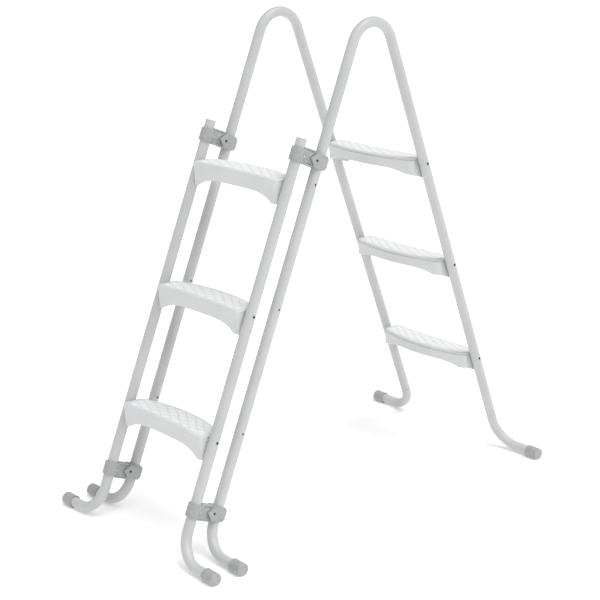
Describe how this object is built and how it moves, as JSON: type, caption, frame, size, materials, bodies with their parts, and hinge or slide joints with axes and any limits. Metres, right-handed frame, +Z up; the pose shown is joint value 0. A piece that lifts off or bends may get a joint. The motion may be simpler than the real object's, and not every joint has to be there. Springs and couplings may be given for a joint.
{
  "type": "pool ladder",
  "caption": "A-frame pool ladder of bent tube with moulded steps inside and out; the outer step section docks on brackets and pulls off.",
  "frame": {"origin": "on the floor under the middle of the whole footprint", "axes": "+Z up, +X across the ladder towards its right handrail seen from outside the pool, -Y towards the outer side with the removable section, +Y towards the pool side"},
  "size_m": [0.782, 1.4298, 1.5157],
  "materials": {
    "powder_coat": "light grey powder coat, satin, fine orange peel",
    "step_plastic": "white moulded plastic with an anti-slip relief on the tread",
    "grey_plastic": "mid grey moulded plastic, satin",
    "dark_screw": "black-coated steel fastener",
    "zinc_steel": "zinc-plated steel fastener"
  },
  "bodies": {
    "ladder_frame": {"handrail_left": "powder_coat", "handrail_right": "powder_coat", "step_inner_top": "step_plastic", "step_inner_middle": "step_plastic", "step_inner_bottom": "step_plastic", "foot_cap_outer_left": "grey_plastic", "foot_cap_outer_right": "grey_plastic", "foot_cap_inner_left": "grey_plastic", "foot_cap_inner_right": "grey_plastic", "step_screw_inner_top_left": "dark_screw", "step_screw_inner_top_right": "dark_screw", "step_screw_inner_middle_left": "dark_screw", "step_screw_inner_middle_right": "dark_screw", "step_screw_inner_bottom_left": "dark_screw", "step_screw_inner_bottom_right": "dark_screw", "collar_front_top_left": "grey_plastic", "collar_front_top_right": "grey_plastic", "collar_front_bottom_left": "grey_plastic", "collar_front_bottom_right": "grey_plastic", "collar_back_top_left": "grey_plastic", "collar_back_top_right": "grey_plastic", "collar_back_bottom_left": "grey_plastic", "collar_back_bottom_right": "grey_plastic", "collar_bolt_top_left": "dark_screw", "collar_bolt_top_right": "dark_screw", "collar_bolt_bottom_left": "dark_screw", "collar_bolt_bottom_right": "dark_screw", "collar_nut_top_left": "zinc_steel", "collar_nut_top_right": "zinc_steel", "collar_nut_bottom_left": "zinc_steel", "collar_nut_bottom_right": "zinc_steel"},
    "removable_section": {"removable_tube_left": "powder_coat", "removable_tube_right": "powder_coat", "tube_plug_left": "powder_coat", "tube_plug_right": "powder_coat", "step_outer_top": "step_plastic", "step_outer_middle": "step_plastic", "step_outer_bottom": "step_plastic", "foot_cap_removable_left": "grey_plastic", "foot_cap_removable_right": "grey_plastic", "step_screw_outer_top_left": "dark_screw", "step_screw_outer_top_right": "dark_screw", "step_screw_outer_middle_left": "dark_screw", "step_screw_outer_middle_right": "dark_screw", "step_screw_outer_bottom_left": "dark_screw", "step_screw_outer_bottom_right": "dark_screw", "bracket_sleeve_top_left": "grey_plastic", "bracket_sleeve_top_right": "grey_plastic", "bracket_sleeve_bottom_left": "grey_plastic", "bracket_sleeve_bottom_right": "grey_plastic", "sleeve_screw_top_left": "zinc_steel", "sleeve_screw_top_right": "zinc_steel", "sleeve_screw_bottom_left": "zinc_steel", "sleeve_screw_bottom_right": "zinc_steel"}
  },
  "joints": [
    {"name": "section_pull_off", "type": "slide", "parent": "ladder_frame", "child": "removable_section", "axis": [0, -0.9272, 0.3746], "range_m": [0, 0.05]}
  ]
}
